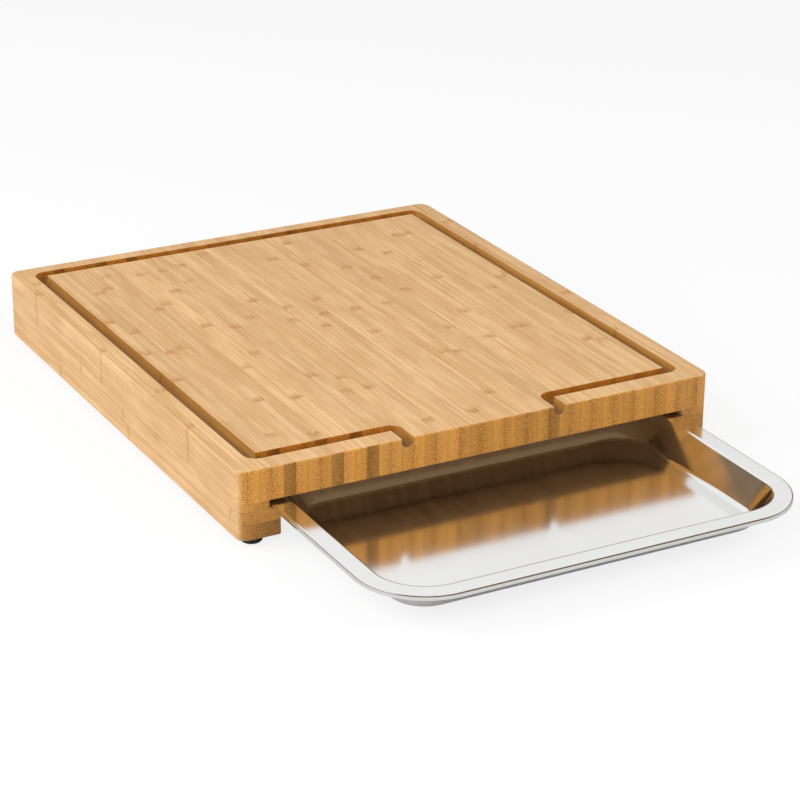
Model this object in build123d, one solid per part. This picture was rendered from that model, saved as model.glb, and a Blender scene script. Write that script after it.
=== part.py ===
from build123d import *
import os

# Bamboo cutting board on two side rails, with two pressed steel trays below it.
# One tray slides out of the front and the other out of the back.
# Millimetres. X runs to the right, Y to the back, Z up.
# The origin is the centre of the cutting face.

# ---------------------------------------------------------------- driving dimensions
# Board: staves on edge, glued side by side, running front to back. The glued blank was trimmed
# off centre, so its joints lie left of where equal staves would put them.
board_width = 343.0
board_depth = 390.0
board_thickness = 22.0
stave_count = 42
joint_shift = 2.1
corner_radius = 8.0
edge_rounding = 1.5
bottom_bevel = 1.5

# Juice groove: round-bottomed, with a spout through the front edge at each end
groove_width = 8.6
groove_depth = 6.5
groove_side_margin = 13.8
groove_front_margin = 14.4
groove_back_margin = 11.5
groove_turn_radius = 4.6
spout_distance = 110.6

# Rails: a spacer strip under each side of the board, and two wider bars under it
spacer_width = 20.5
spacer_height = 5.5
bar_width = 28.1
upper_bar_height = 8.6
lower_bar_height = 11.0

# Feet and their screws
foot_diameter = 14.0
foot_stand_out = 4.0
foot_pocket_depth = 1.5
foot_side_inset = 12.5
foot_end_inset = 9.5
foot_bevel = 1.0
screw_head_diameter = 6.0
screw_head_height = 1.6
screw_head_recess = 2.2
screw_shank_diameter = 3.0
screw_grip = 8.0
screw_point_length = 2.5

# Trays: one sheet each, with a turned-down lip, a flat rim, sloping walls and a flat floor
sheet_thickness = 0.8
lip_height = 3.2
lip_bend_radius = 1.4
rim_width = 12.5
rim_bend_radius = 2.0
wall_run = 12.0
basin_depth = 19.4
floor_bend_radius = 4.0
tray_corner_radius = 45.5
tray_side_gap = 1.4
tray_meeting_gap = 1.0
tray_running_gap = 0.1
tray_closed_overhang = 5.0
front_tray_pulled_out = 150.0

# ---------------------------------------------------------------- levels and places
half_width = board_width / 2
half_depth = board_depth / 2
stave_width = board_width / stave_count

board_bottom = -board_thickness
ledge_level = board_bottom - spacer_height
bar_seam_level = ledge_level - upper_bar_height
rail_bottom = bar_seam_level - lower_bar_height
foot_top = rail_bottom + foot_pocket_depth
foot_bottom = rail_bottom - foot_stand_out
screw_face_level = foot_bottom + screw_head_recess
screw_seat_level = screw_face_level + screw_head_height
screw_tip_level = foot_top + screw_grip

tray_width = board_width - 2 * (spacer_width + tray_side_gap)
tray_closed_end = half_depth + tray_closed_overhang
tray_length = tray_closed_end - tray_meeting_gap / 2
tray_closed_middle = tray_closed_end - tray_length / 2
rim_level = ledge_level + tray_running_gap + lip_height


def block(low, high):
    """A box between two opposite corners."""
    size = [top - bottom for bottom, top in zip(low, high)]
    middle = [(top + bottom) / 2 for bottom, top in zip(low, high)]
    return Pos(*middle) * Box(*size)


def rod(diameter, low, high):
    """An upright cylinder on the Z axis between two levels."""
    return Pos(0, 0, (low + high) / 2) * Cylinder(diameter / 2, high - low)


def plan_slice(top, height):
    """A layer of the board's rounded outline, from one level down."""
    outline = RectangleRounded(board_width, board_depth, corner_radius)
    return extrude(Pos(0, 0, top) * outline, -height)


# ---------------------------------------------------------------- board
def groove_cutter():
    """The run of the round-nosed cutter: in at one spout, round the board, out at the other."""
    cutter_radius = groove_width / 2
    side = half_width - groove_side_margin - cutter_radius
    front = -half_depth + groove_front_margin + cutter_radius
    back = half_depth - groove_back_margin - cutter_radius
    spout = spout_distance / 2
    run_in = -half_depth - groove_width
    path = FilletPolyline(
        (-spout, run_in), (-spout, front), (-side, front), (-side, back),
        (side, back), (side, front), (spout, front), (spout, run_in),
        radius=groove_turn_radius,
    )
    nose = SlotOverall(groove_depth + groove_width, groove_width, rotation=90)
    nose_middle = (-spout, run_in, (groove_width - groove_depth) / 2)
    start = Plane(origin=nose_middle, x_dir=(1, 0, 0), z_dir=(0, 1, 0))
    return sweep(start * nose, path=path)


def glued_board():
    """The whole board after its edges are rounded and its groove is cut."""
    board = plan_slice(0, board_thickness)
    board = fillet(board.edges().group_by(Axis.Z)[-1], edge_rounding)
    return board - groove_cutter()


def staves(board):
    """The board's staves, from left to right, parted at the glue joints."""
    joints = [index * stave_width - half_width - joint_shift for index in range(1, stave_count)]
    sides = [-board_width, *joints, board_width]
    for number, (left, right) in enumerate(zip(sides, sides[1:]), start=1):
        strip = block((left, -board_depth, -board_depth), (right, board_depth, board_depth))
        yield f"stave_{number:02d}", board & strip


# ---------------------------------------------------------------- rails
def rail_strips(layer, width):
    """One layer of the rails: a strip along each side."""
    inner = half_width - width
    reach = board_depth
    return {
        "left": layer & block((-reach, -reach, -reach), (-inner, reach, reach)),
        "right": layer & block((inner, -reach, -reach), (reach, reach, reach)),
    }


def foot_places():
    """The foot's name and its centre, for each corner."""
    for end, y_sign in (("front", -1), ("rear", 1)):
        for side, x_sign in (("left", -1), ("right", 1)):
            x = x_sign * (half_width - foot_side_inset)
            y = y_sign * (half_depth - foot_end_inset)
            yield f"foot_{end}_{side}", (x, y)


def lower_layer():
    """The lowest layer of the rails, with a pocket for each foot and a pilot hole for its screw."""
    layer = plan_slice(bar_seam_level, lower_bar_height)
    layer = chamfer(layer.edges().group_by(Axis.Z)[0], bottom_bevel)
    seat = rod(foot_diameter, foot_bottom, foot_top) + foot_screw()
    for _, (x, y) in foot_places():
        layer = layer - Pos(x, y) * seat
    return layer


# ---------------------------------------------------------------- feet
def foot():
    """A rubber foot on the Z axis, bored for its screw and counterbored for the head."""
    body = rod(foot_diameter, foot_bottom, foot_top)
    body = chamfer(body.edges().group_by(Axis.Z)[0], foot_bevel)
    recess = rod(screw_head_diameter, foot_bottom, screw_seat_level)
    bore = rod(screw_shank_diameter, foot_bottom, foot_top)
    return body - recess - bore


def foot_screw():
    """The pan-head screw of a foot, on the Z axis, head down and point up in the rail."""
    head_radius = screw_head_diameter / 2
    head_bevel = screw_head_height / 2
    shank_radius = screw_shank_diameter / 2
    half_section = make_face(Polyline(
        (0, screw_face_level),
        (head_radius - head_bevel, screw_face_level),
        (head_radius, screw_face_level + head_bevel),
        (head_radius, screw_seat_level),
        (shank_radius, screw_seat_level),
        (shank_radius, screw_tip_level - screw_point_length),
        (0, screw_tip_level),
        close=True,
    ))
    return revolve(Plane.XZ * half_section, Axis.Z)


# ---------------------------------------------------------------- tray
def sheet_section():
    """The sheet's section. X is measured outwards from the lip's face, and Y is the height."""
    basin_edge = -rim_width
    floor_edge = basin_edge - wall_run
    floor_level = rim_level - basin_depth
    upper_side = FilletPolyline(
        (0, rim_level - lip_height), (0, rim_level), (basin_edge, rim_level),
        (floor_edge, floor_level), (floor_edge - floor_bend_radius, floor_level),
        radius=(lip_bend_radius, rim_bend_radius, floor_bend_radius),
    )
    return make_face(offset(upper_side, amount=sheet_thickness, side=Side.LEFT))


def tray():
    """A tray on the Z axis, pressed from one sheet: its section run round the rim, and its flat floor."""
    rim = RectangleRounded(tray_width, tray_length, tray_corner_radius).wire()
    outwards = rim.tangent_at(0).cross(Vector(0, 0, 1))
    if outwards.dot(rim.position_at(0)) < 0:
        outwards = -outwards
    section_plane = Plane(origin=rim.position_at(0), x_dir=outwards, z_dir=outwards.cross(Vector(0, 0, 1)))
    walls = sweep(section_plane * sheet_section(), path=rim)

    floor_inset = rim_width + wall_run + floor_bend_radius
    floor_outline = RectangleRounded(
        tray_width - 2 * floor_inset, tray_length - 2 * floor_inset, tray_corner_radius - floor_inset
    )
    floor = extrude(Pos(0, 0, rim_level - basin_depth) * floor_outline, -sheet_thickness)
    return walls + floor


# ---------------------------------------------------------------- output
def all_pieces():
    """Every piece of the product, with the name of its node."""
    yield from staves(glued_board())

    spacer_layer = plan_slice(board_bottom, spacer_height)
    upper_layer = plan_slice(ledge_level, upper_bar_height)
    for name, layer, width in (
        ("spacer", spacer_layer, spacer_width),
        ("upper_bar", upper_layer, bar_width),
        ("lower_bar", lower_layer(), bar_width),
    ):
        for place, strip in rail_strips(layer, width).items():
            yield f"{name}_{place}", strip

    screws = []
    for name, (x, y) in foot_places():
        yield name, Pos(x, y) * foot()
        screws.append(Pos(x, y) * foot_screw())
    yield "foot_screws", Compound(children=screws)

    pressing = tray()
    yield "tray_front", Pos(0, -tray_closed_middle - front_tray_pulled_out) * pressing
    yield "tray_rear", Pos(0, tray_closed_middle) * Rot(0, 0, 180) * pressing


os.makedirs("parts", exist_ok=True)
for node, piece in all_pieces():
    export_step(piece, f"parts/{node}.step")
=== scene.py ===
import math
import random

import bpy
from mathutils import Matrix, Vector


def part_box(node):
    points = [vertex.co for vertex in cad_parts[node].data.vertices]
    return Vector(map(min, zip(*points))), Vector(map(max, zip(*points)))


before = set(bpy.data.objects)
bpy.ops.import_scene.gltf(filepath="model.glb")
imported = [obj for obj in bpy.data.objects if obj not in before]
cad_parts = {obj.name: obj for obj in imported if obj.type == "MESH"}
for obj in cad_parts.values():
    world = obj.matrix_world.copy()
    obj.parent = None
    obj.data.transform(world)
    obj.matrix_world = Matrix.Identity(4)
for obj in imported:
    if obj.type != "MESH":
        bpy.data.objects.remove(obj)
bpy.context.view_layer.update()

# ---------------------------------------------------------------- places, worked out from the frame
MM = 0.001
STAVES = sorted(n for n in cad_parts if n.startswith("stave_"))
BOARD_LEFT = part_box(STAVES[0])[0].x
BOARD_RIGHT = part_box(STAVES[-1])[1].x
BOARD_FRONT, BOARD_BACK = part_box(STAVES[20])[0].y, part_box(STAVES[20])[1].y
RAIL_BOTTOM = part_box("lower_bar_left")[0].z
FLOOR_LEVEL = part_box("foot_front_left")[0].z
TRAYS = [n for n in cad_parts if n.startswith("tray")]

# The groove, as cut in the board. It lies further in than the edge gap on every side.
GROOVE_EDGE_GAP = 8 * MM
GROOVE_DEPTH = 6.6 * MM
SPOUT_X = 55.3 * MM
SPOUT_HALF_WIDTH = 4.4 * MM

# Camera at the photo's angle: its place, then azimuth from +Y towards -X, elevation and roll in degrees
CAMERA_PLACE = (-0.76863, -1.49078, 0.65971)
CAMERA_AZIMUTH, CAMERA_ELEVATION, CAMERA_ROLL = -28.629, 23.208, 0.584
CAMERA_LENS, CAMERA_SENSOR = 117.48, 36.0

# Light: the world's level as a light, and what mirrors see of it. They see a dim brown room below the
# horizon's first height, and in front of the board up to the second. Heights and depth as parts of 1.
WORLD_LEVEL = 0.42
MIRROR_HORIZON = (0.325, 0.39)
MIRROR_FRONT = (-0.35, -0.10)
MIRROR_FRONT_TOP = (0.78, 0.92)
MIRROR_DIM = (0.20, 0.13, 0.066)

# ---------------------------------------------------------------- bamboo as it was picked for this board
# Staves by number from the left: the darker ones, the lighter ones, and left-half ones whose ends are painted
# paler, a painted light from the left.
# Below them, the places in Y where each stave shows a node, in millimetres.
DARK_STAVES = {5, 9, 12, 28}
LIGHT_STAVES = {2, 6, 10, 11, 13, 16, 18, 19, 23, 31, 33, 36, 39, 42}
PAINTED_LIT_END_STAVES = {1, 3, 4, 7, 8, 14, 15, 17}
STAVE_NODES = {
    1: (140, 22, -120), 2: (160, -60), 3: (170, -30), 4: (68, 4, -47), 5: (42,), 6: (128, 4, -149),
    7: (128, 2), 8: (151, -102), 9: (80, -160), 10: (82, -48), 11: (144, 32, -108), 12: (108, -23),
    13: (144, 20), 14: (116, -80), 15: (154, 38, -109), 16: (-92,), 17: (-115, 60),
    18: (168, 19, -173), 19: (38,), 20: (-5,), 21: (20,), 22: (43, -179), 23: (130, -30), 24: (20,),
    25: (108, -158), 26: (156, -84), 27: (19, -82), 28: (90,), 29: (62, -47), 30: (37,),
    31: (-74, 120), 32: (-24,), 33: (109,), 34: (43, -66), 35: (-66,), 36: (140, 141), 37: (134, 7),
    38: (-108,), 39: (28, -108), 40: (28, -60), 41: (90, -100), 42: (-20, 150),
}

# Linear colours
LONG_GRAIN = (0.665, 0.385, 0.160)
LONG_GRAIN_PALE = (0.83, 0.535, 0.265)
LONG_GRAIN_STREAK = (0.55, 0.285, 0.095)
END_PALE = (0.64, 0.290, 0.056)
END_DARK = (0.27, 0.105, 0.014)
NODE_BROWN = (0.50, 0.225, 0.058)
GLUE_BROWN = (0.22, 0.10, 0.020)
# Painted shade in the juice groove: a darkening multiplied in, lightest at the rim and deepest at the bed
GROOVE_SHADE_TOP = (0.92, 0.74, 0.40)
GROOVE_SHADE_BED = (0.34, 0.235, 0.060)
STEEL_DULL, STEEL_BRIGHT = (0.78, 0.78, 0.775), (0.86, 0.86, 0.855)
ZINC_DULL, ZINC_BRIGHT = (0.42, 0.42, 0.43), (0.64, 0.64, 0.63)
RUBBER_BLACK, RUBBER_SCUFFED = (0.012, 0.012, 0.014), (0.045, 0.045, 0.048)
WHITE = (1.0, 1.0, 1.0)

# The floor as it lights the piece, as the eye sees it, and as mirrors see it. It glows a little for the eye.
FLOOR_HALF_WIDTH = 6.0
FLOOR_AS_LIGHT, FLOOR_SEEN, FLOOR_MIRRORED = (0.55, 0.55, 0.55), (0.97, 0.97, 0.97), (0.70, 0.69, 0.68)
FLOOR_GLOW = 0.80


class Nodes:
    """Adds shader nodes to one material or world. Its calls give back output sockets."""

    def __init__(self, owner):
        owner.use_nodes = True
        self.tree = owner.node_tree
        self.shader = self.tree.nodes.get("Principled BSDF")
        coordinates = self.add("ShaderNodeTexCoord")
        self.place = coordinates.outputs["Object"]
        self.normal = coordinates.outputs["Normal"]
        self.direction = coordinates.outputs["Generated"]

    def add(self, kind, **settings):
        node = self.tree.nodes.new(kind)
        for key, value in settings.items():
            setattr(node, key, value)
        return node

    def put(self, socket, value):
        if isinstance(value, bpy.types.NodeSocket):
            self.tree.links.new(value, socket)
        else:
            socket.default_value = value

    def math(self, operation, *values):
        node = self.add("ShaderNodeMath", operation=operation)
        for socket, value in zip(node.inputs, values):
            self.put(socket, value)
        return node.outputs[0]

    def step(self, value, low, high, start=0.0, end=1.0):
        """From start at low to end at high, with a smooth ramp between."""
        node = self.add("ShaderNodeMapRange", interpolation_type="SMOOTHSTEP")
        for socket, setting in zip(node.inputs, (value, low, high, start, end)):
            self.put(socket, setting)
        return node.outputs[0]

    def split(self, vector):
        node = self.add("ShaderNodeSeparateXYZ")
        self.put(node.inputs[0], vector)
        return node.outputs

    def join(self, x, y, z):
        node = self.add("ShaderNodeCombineXYZ")
        for socket, value in zip(node.inputs, (x, y, z)):
            self.put(socket, value)
        return node.outputs[0]

    def stretch(self, vector, scale, shift):
        node = self.add("ShaderNodeVectorMath", operation="MULTIPLY_ADD")
        for socket, value in zip(node.inputs, (vector, scale, shift)):
            self.put(socket, value)
        return node.outputs[0]

    def noise(self, vector, detail=2.0, roughness=0.5):
        node = self.add("ShaderNodeTexNoise")
        self.put(node.inputs["Vector"], vector)
        node.inputs["Scale"].default_value = 1.0
        node.inputs["Detail"].default_value = detail
        node.inputs["Roughness"].default_value = roughness
        return node.outputs["Fac"]

    def cells(self, vector, randomness=1.0):
        node = self.add("ShaderNodeTexVoronoi")
        self.put(node.inputs["Vector"], vector)
        node.inputs["Scale"].default_value = 1.0
        node.inputs["Randomness"].default_value = randomness
        return node.outputs["Distance"]

    def blend(self, factor, first, second):
        """A number between two others."""
        return self.math("MULTIPLY_ADD", factor, self.math("SUBTRACT", second, first), first)

    def mix(self, factor, first, second, blend="MIX"):
        node = self.add("ShaderNodeMix", data_type="RGBA", blend_type=blend)
        self.put(node.inputs[0], factor)
        self.put(node.inputs[6], first if isinstance(first, bpy.types.NodeSocket) else (*first, 1))
        self.put(node.inputs[7], second if isinstance(second, bpy.types.NodeSocket) else (*second, 1))
        return node.outputs[2]

    def bump(self, height, strength, distance):
        node = self.add("ShaderNodeBump")
        self.put(node.inputs["Height"], height)
        node.inputs["Strength"].default_value = strength
        node.inputs["Distance"].default_value = distance
        return node.outputs["Normal"]


def scaled(colour, factor):
    return tuple(channel * factor for channel in colour)


def groove_depth_mask(g, x, y, z):
    """How deep in the juice groove a point is: 0 on the cutting face and 1 at the groove's bed."""
    depth = g.step(z, -0.3 * MM, -GROOVE_DEPTH, 0.25, 1.0)
    below = g.step(z, -0.05 * MM, -0.5 * MM)
    above = g.step(z, -GROOVE_DEPTH - 1.5 * MM, -GROOVE_DEPTH - 0.5 * MM)
    side_gap = g.math("SUBTRACT", BOARD_RIGHT, g.math("ABSOLUTE", x))
    in_x = g.step(side_gap, GROOVE_EDGE_GAP, GROOVE_EDGE_GAP + 1 * MM)
    in_back = g.step(y, BOARD_BACK - GROOVE_EDGE_GAP, BOARD_BACK - GROOVE_EDGE_GAP - 1 * MM)
    in_front = g.step(y, BOARD_FRONT + GROOVE_EDGE_GAP, BOARD_FRONT + GROOVE_EDGE_GAP + 1 * MM)
    spout_off = g.math("ABSOLUTE", g.math("SUBTRACT", g.math("ABSOLUTE", x), SPOUT_X))
    in_spout = g.step(spout_off, SPOUT_HALF_WIDTH + 0.1 * MM, SPOUT_HALF_WIDTH - 0.1 * MM)
    in_spout = g.math("MULTIPLY", in_spout, g.step(y, BOARD_FRONT, BOARD_FRONT + 0.5 * MM))
    inside = g.math("MULTIPLY", g.math("MULTIPLY", below, above), g.math("MULTIPLY", in_x, in_back))
    inside = g.math("MULTIPLY", inside, g.math("MAXIMUM", in_front, in_spout))
    return inside, depth


def bamboo(name, seed, tone, end_tone, node_marks, sides, joints, levels=(), with_groove_shade=False):
    """One strip of bamboo, as a solid texture: fibres along the strip, dots of cut fibres on its ends.

    Sides are its limits across the grain. Joints and levels are its glued sides, in X and in Z.
    """
    material = bpy.data.materials.new(name)
    g = Nodes(material)
    x, y, z = g.split(g.place)
    shift = (seed * 17.3, seed * 5.1, seed * 9.7)

    # fibres: fine threads, streaks, broader bands, slow changes along the strip, and bundles for the ends
    threads = g.noise(g.stretch(g.place, (2300, 22, 2300), shift), 3.0, 0.6)
    streaks = g.noise(g.stretch(g.place, (950, 13, 950), shift), 3.0, 0.55)
    bands = g.noise(g.stretch(g.place, (330, 6, 330), shift), 2.0)
    clouds = g.noise(g.stretch(g.place, (70, 26, 70), shift), 2.0)
    bundles = g.cells(g.stretch(g.place, (1150, 9, 1150), shift))

    light = g.math("ADD", g.math("MULTIPLY", bands, 0.55), g.math("MULTIPLY", clouds, 0.45))
    colour = g.mix(g.step(light, 0.34, 0.66), scaled(LONG_GRAIN, tone), scaled(LONG_GRAIN_PALE, tone))
    faces = g.split(g.normal)
    on_flank = g.step(g.math("ABSOLUTE", faces[0]), 0.4, 0.8)
    strength = 0.20 + 0.13 * (seed * 7 % 4)
    strength = g.blend(on_flank, strength, 0.18)
    colour = g.mix(g.math("MULTIPLY", g.step(streaks, 0.52, 0.36), strength), colour, LONG_GRAIN_STREAK)
    colour = g.mix(g.math("MULTIPLY", g.step(threads, 0.50, 0.34), 0.36), colour, NODE_BROWN)

    # nodes of the cane: on the face a feathered brown patch with one sharp side, on the flank a thin line
    wander = g.noise(g.stretch(g.place, (330, 60, 110), shift), 2.0)
    run_mm = g.math("ADD", g.math("MULTIPLY", y, 1000.0), g.math("MULTIPLY_ADD", wander, 8.0, -4.0))
    feathers = g.step(g.noise(g.stretch(g.place, (900, 75, 900), shift), 3.0, 0.6), 0.36, 0.64)
    heading = 1.0 if seed % 3 else -1.0
    spots = None
    for mark in node_marks:
        ahead = g.math("MULTIPLY", g.math("SUBTRACT", run_mm, float(mark)), heading)
        patch = g.math("MULTIPLY", g.step(ahead, -1.2, 0.8), g.step(ahead, 11.0, 1.0))
        patch = g.math("MULTIPLY", patch, g.math("MULTIPLY_ADD", feathers, 0.68, 0.26))
        line = g.step(g.math("ABSOLUTE", ahead), 2.6, 0.6, 0.0, 0.50)
        spot = g.blend(on_flank, patch, line)
        spots = spot if spots is None else g.math("MAXIMUM", spots, spot)
    if spots is not None:
        colour = g.mix(spots, colour, NODE_BROWN)

    # end grain: more orange, with a dot for each bundle of fibres, and the bundles crowd to one side
    on_end = g.step(g.math("ABSOLUTE", faces[1]), 0.45, 0.85)
    sparse_side, crowded_side = sides if seed % 2 else reversed(sides)
    crowding = g.step(x, sparse_side, crowded_side, 0.24, 0.52)
    crowding = g.math("MULTIPLY_ADD", g.math("SUBTRACT", 1.0, end_tone), 0.45, crowding)
    dots = g.step(g.math("SUBTRACT", bundles, crowding), 0.10, -0.06)
    speckle = g.noise(g.stretch(g.place, (1500, 40, 1500), shift), 2.0, 0.7)
    end_dull, end_bright = scaled(END_PALE, 0.84 * end_tone), scaled(END_PALE, 1.20 * end_tone)
    end = g.mix(g.step(speckle, 0.35, 0.65), end_dull, end_bright)
    end = g.mix(g.math("MULTIPLY", dots, 0.62), end, scaled(END_DARK, end_tone))
    colour = g.mix(on_end, colour, end)

    # glue lines where the strip meets its neighbours
    glue = None
    for place, joint in [(x, joint) for joint in joints] + [(z, level) for level in levels]:
        line = g.step(g.math("ABSOLUTE", g.math("SUBTRACT", place, joint)), 0.34 * MM, 0.05 * MM)
        glue = line if glue is None else g.math("MAXIMUM", glue, line)
    glue_strength = g.math("MULTIPLY_ADD", on_end, 0.34, 0.18)
    colour = g.mix(g.math("MULTIPLY", glue, glue_strength), colour, GLUE_BROWN)

    # Painted shade: inside the groove the colour is darkened more the deeper it lies, standing in for the
    # shade in the cut
    if with_groove_shade:
        inside, depth = groove_depth_mask(g, x, y, z)
        groove_shade_tint = g.mix(depth, GROOVE_SHADE_TOP, GROOVE_SHADE_BED)
        colour = g.mix(inside, colour, g.mix(1.0, colour, groove_shade_tint, "MULTIPLY"))

    g.put(g.shader.inputs["Base Color"], colour)
    g.put(g.shader.inputs["Roughness"], g.math("MULTIPLY_ADD", threads, 0.16, 0.42))
    g.shader.inputs["Specular IOR Level"].default_value = 0.55
    relief = g.math("ADD", g.math("MULTIPLY", threads, 0.6), g.math("MULTIPLY", glue, -0.5))
    g.put(g.shader.inputs["Normal"], g.bump(relief, 0.3, 0.0001))
    return material


def brushed_steel(name):
    """Satin stainless sheet: a soft mirror with faint haze, handling marks and fine scratches."""
    material = bpy.data.materials.new(name)
    g = Nodes(material)
    haze = g.noise(g.stretch(g.place, (9, 9, 9), (0, 0, 0)), 3.0)
    smears = g.noise(g.stretch(g.place, (38, 12, 38), (5, 0, 0)), 4.0, 0.6)
    fine = g.noise(g.stretch(g.place, (1400, 60, 1400), (3, 1, 2)), 2.0)
    g.put(g.shader.inputs["Base Color"], g.mix(haze, STEEL_DULL, STEEL_BRIGHT))
    g.shader.inputs["Metallic"].default_value = 1.0
    rough = g.math("ADD", g.math("MULTIPLY_ADD", smears, 0.06, 0.09), g.math("MULTIPLY", fine, 0.03))
    g.put(g.shader.inputs["Roughness"], rough)
    g.put(g.shader.inputs["Normal"], g.bump(fine, 0.04, 0.00002))
    return material


def zinc_steel(name):
    """Zinc-plated screws, mottled by their patina."""
    material = bpy.data.materials.new(name)
    g = Nodes(material)
    patina = g.noise(g.stretch(g.place, (700, 700, 700), (0, 0, 0)), 3.0)
    g.put(g.shader.inputs["Base Color"], g.mix(patina, ZINC_DULL, ZINC_BRIGHT))
    g.shader.inputs["Metallic"].default_value = 1.0
    g.put(g.shader.inputs["Roughness"], g.math("MULTIPLY_ADD", patina, 0.25, 0.25))
    return material


def rubber(name):
    """Matt black rubber with scuffs and a fine grain."""
    material = bpy.data.materials.new(name)
    g = Nodes(material)
    grain = g.noise(g.stretch(g.place, (2200, 2200, 2200), (0, 0, 0)), 3.0)
    scuff = g.noise(g.stretch(g.place, (180, 180, 180), (4, 4, 4)), 3.0)
    g.put(g.shader.inputs["Base Color"], g.mix(g.step(scuff, 0.45, 0.75), RUBBER_BLACK, RUBBER_SCUFFED))
    g.put(g.shader.inputs["Roughness"], g.math("MULTIPLY_ADD", scuff, 0.25, 0.55))
    g.put(g.shader.inputs["Normal"], g.bump(grain, 0.25, 0.00008))
    return material


# ---------------------------------------------------------------- materials on the pieces
def dress(node, material):
    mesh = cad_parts[node].data
    mesh.materials.clear()
    mesh.materials.append(material)


picker = random.Random(7)
for number, node in enumerate(STAVES, start=1):
    low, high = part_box(node)
    tone = 1.0 + picker.uniform(-0.05, 0.05)
    end_tone = 1.0 + picker.uniform(-0.06, 0.06)
    if number in DARK_STAVES:
        tone, end_tone = tone * 0.97, end_tone * 0.74
    elif number in LIGHT_STAVES:
        # Painted light: light staves left of the middle get paler ends than those on the right, as if lit from
        # the left
        tone, end_tone = tone * 1.02, end_tone * (1.22 if number < 20 else 1.10)
    # Painted light: these left-half staves get paler ends, as if lit from the left
    elif number in PAINTED_LIT_END_STAVES:
        end_tone = end_tone * 1.10
    joints = [place for place in (low.x, high.x) if BOARD_LEFT < place < BOARD_RIGHT]
    material = bamboo(
        f"bamboo_{node}", number, tone, end_tone, STAVE_NODES[number], (low.x, high.x), joints, with_groove_shade=True
    )
    dress(node, material)

# Rail strips: the nodes they show, and the tone of their ends
STRIP_LOOKS = {
    "spacer_left": ((-70, 60), 0.98),
    "upper_bar_left": ((-14, -183), 0.95),
    "lower_bar_left": ((97, -24), 0.76),
    "spacer_right": ((40,), 0.95),
    "upper_bar_right": ((-90, 110), 0.92),
    "lower_bar_right": ((15, -120), 0.85),
}
for number, (node, (marks, end_tone)) in enumerate(STRIP_LOOKS.items(), start=61):
    low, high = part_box(node)
    tone = 1.0 + picker.uniform(-0.03, 0.04)
    levels = [level for level in (low.z, high.z) if level > RAIL_BOTTOM]
    dress(node, bamboo(f"bamboo_{node}", number, tone, end_tone, marks, (low.x, high.x), (), levels))

tray_steel = brushed_steel("tray_steel")
for node in TRAYS:
    dress(node, tray_steel)
dress("foot_screws", zinc_steel("screw_zinc"))
foot_rubber = rubber("foot_rubber")
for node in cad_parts:
    if node.startswith("foot_") and node != "foot_screws":
        dress(node, foot_rubber)


# ---------------------------------------------------------------- floor, light and camera
def make_floor():
    """A white floor under the feet that keeps the shadow."""
    mesh = bpy.data.meshes.new("floor")
    half = FLOOR_HALF_WIDTH
    corners = [(x, y, FLOOR_LEVEL) for x, y in ((-half, -half), (half, -half), (half, half), (-half, half))]
    mesh.from_pydata(corners, [], [(0, 1, 2, 3)])
    floor = bpy.data.objects.new("floor", mesh)
    bpy.context.scene.collection.objects.link(floor)
    material = bpy.data.materials.new("floor_white")
    g = Nodes(material)
    path = g.add("ShaderNodeLightPath").outputs
    mirrored = path["Is Glossy Ray"]
    seen = g.math("MAXIMUM", path["Is Camera Ray"], g.math("MAXIMUM", mirrored, path["Is Transmission Ray"]))
    colour = g.mix(mirrored, g.mix(seen, FLOOR_AS_LIGHT, FLOOR_SEEN), FLOOR_MIRRORED)
    g.put(g.shader.inputs["Base Color"], colour)
    g.shader.inputs["Roughness"].default_value = 1.0
    g.shader.inputs["Specular IOR Level"].default_value = 0.0
    glow = g.add("ShaderNodeEmission")
    glow.inputs["Color"].default_value = (1, 1, 1, 1)
    glow.inputs["Strength"].default_value = 1.0
    blend = g.add("ShaderNodeMixShader")
    bright = g.math("MAXIMUM", path["Is Camera Ray"], path["Is Transmission Ray"])
    g.put(blend.inputs[0], g.math("MULTIPLY", bright, FLOOR_GLOW))
    g.put(blend.inputs[1], g.shader.outputs[0])
    g.put(blend.inputs[2], glow.outputs[0])
    g.put(g.tree.nodes["Material Output"].inputs["Surface"], blend.outputs[0])
    mesh.materials.append(material)


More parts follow.
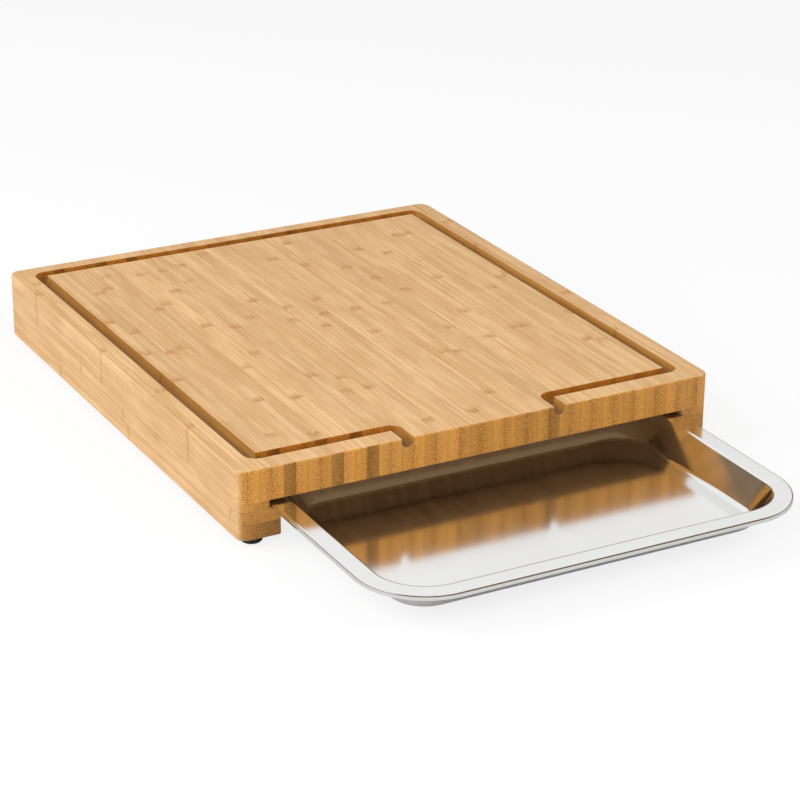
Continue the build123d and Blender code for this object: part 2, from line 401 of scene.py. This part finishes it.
def make_world():
    """White for the eye, and dimmer as a light. Mirrors see it dim brown low down and in front."""
    world = bpy.data.worlds.new("studio")
    bpy.context.scene.world = world
    g = Nodes(world)
    _, back, height = g.split(g.direction)
    path = g.add("ShaderNodeLightPath").outputs
    above = g.step(height, *MIRROR_HORIZON)
    clear = g.math("MAXIMUM", g.step(back, *MIRROR_FRONT), g.step(height, *MIRROR_FRONT_TOP))
    room = g.mix(g.math("MULTIPLY", above, clear), MIRROR_DIM, WHITE)
    level = g.math("MULTIPLY", path["Is Diffuse Ray"], WORLD_LEVEL)
    for ray in ("Is Camera Ray", "Is Glossy Ray", "Is Transmission Ray"):
        level = g.math("MAXIMUM", level, path[ray])
    background = g.tree.nodes["Background"]
    g.put(background.inputs["Color"], g.mix(path["Is Glossy Ray"], WHITE, room))
    g.put(background.inputs["Strength"], level)


def aimed(place, target):
    """The turn that points a light at place towards the target."""
    return (Vector(target) - Vector(place)).to_track_quat("-Z", "Y").to_matrix().to_4x4()


def softbox(name, place, size, power):
    """A square light aimed at the cutting face, which mirrors don't see. Size in metres, power in watts."""
    lamp = bpy.data.lights.new(name, "AREA")
    lamp.shape = "SQUARE"
    lamp.size = size
    lamp.energy = power
    box = bpy.data.objects.new(name, lamp)
    box.matrix_world = Matrix.Translation(place) @ aimed(place, (0, 0, 0))
    box.visible_glossy = False
    bpy.context.scene.collection.objects.link(box)


def make_camera():
    """The photo's camera."""
    azimuth, elevation, roll = (math.radians(a) for a in (CAMERA_AZIMUTH, CAMERA_ELEVATION, CAMERA_ROLL))
    forward = Vector((
        -math.sin(azimuth) * math.cos(elevation), math.cos(azimuth) * math.cos(elevation), -math.sin(elevation)
    ))
    level_right = forward.cross(Vector((0, 0, 1))).normalized()
    level_up = level_right.cross(forward)
    right = math.cos(roll) * level_right + math.sin(roll) * level_up
    up = -math.sin(roll) * level_right + math.cos(roll) * level_up
    turn = Matrix((right, up, -forward)).transposed().to_4x4()
    data = bpy.data.cameras.new("camera")
    data.lens = CAMERA_LENS
    data.sensor_width = CAMERA_SENSOR
    camera = bpy.data.objects.new("camera", data)
    camera.matrix_world = Matrix.Translation(CAMERA_PLACE) @ turn
    bpy.context.scene.collection.objects.link(camera)
    bpy.context.scene.camera = camera


make_floor()
make_world()
softbox("left_softbox", (-1.6, 0.4, 1.05), 1.3, 25)
softbox("front_softbox", (-1.0, -1.5, 1.0), 1.0, 15)
softbox("right_softbox", (1.2, -1.3, 1.3), 1.0, 13)
make_camera()
bpy.context.scene.view_settings.view_transform = "Standard"
